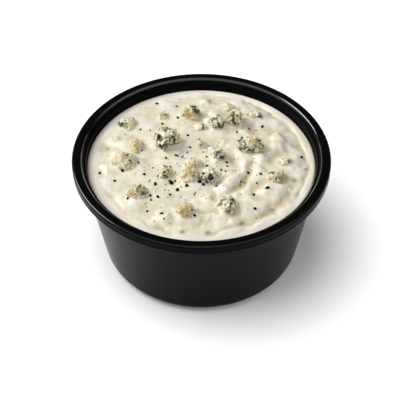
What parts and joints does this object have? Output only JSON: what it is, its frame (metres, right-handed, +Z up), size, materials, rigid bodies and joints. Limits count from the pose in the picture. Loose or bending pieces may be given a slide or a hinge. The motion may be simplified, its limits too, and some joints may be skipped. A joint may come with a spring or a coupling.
{
  "type": "blue cheese dip in a portion tub",
  "caption": "Round black plastic portion tub filled with creamy blue cheese dip, strewn with crumbled blue cheese and cracked black pepper.",
  "frame": {"origin": "middle of the tub's footprint, on the surface that it stands on", "axes": "+Z up along the tub's axis, -Y towards the viewer, +X to the viewer's right"},
  "size_m": [0.074, 0.074, 0.0389],
  "materials": {
    "black_plastic": "black injection moulded polypropylene with a soft satin shine",
    "dip": "thick soured cream and mayonnaise dip, moist, with flecks of cracked black pepper",
    "pale_cheese": "crumbly ripe cheese, straw to tan, with no vein showing",
    "veined_cheese": "crumbly ripe cheese with blue green veins"
  },
  "bodies": {
    "root": {"cup": "black_plastic", "dip": "dip", "crumb_01": "pale_cheese", "crumb_02": "pale_cheese", "crumb_03": "veined_cheese", "crumb_04": "veined_cheese", "crumb_05": "veined_cheese", "crumb_06": "veined_cheese", "crumb_07": "veined_cheese", "crumb_08": "veined_cheese", "crumb_09": "veined_cheese", "crumb_10": "pale_cheese", "crumb_11": "pale_cheese", "crumb_12": "veined_cheese", "crumb_13": "veined_cheese", "crumb_14": "pale_cheese", "crumb_15": "veined_cheese", "crumb_16": "pale_cheese", "crumb_17": "veined_cheese", "crumb_18": "pale_cheese", "crumb_19": "veined_cheese", "crumb_20": "veined_cheese", "crumb_21": "pale_cheese", "crumb_22": "veined_cheese", "crumb_23": "pale_cheese"}
  },
  "joints": []
}
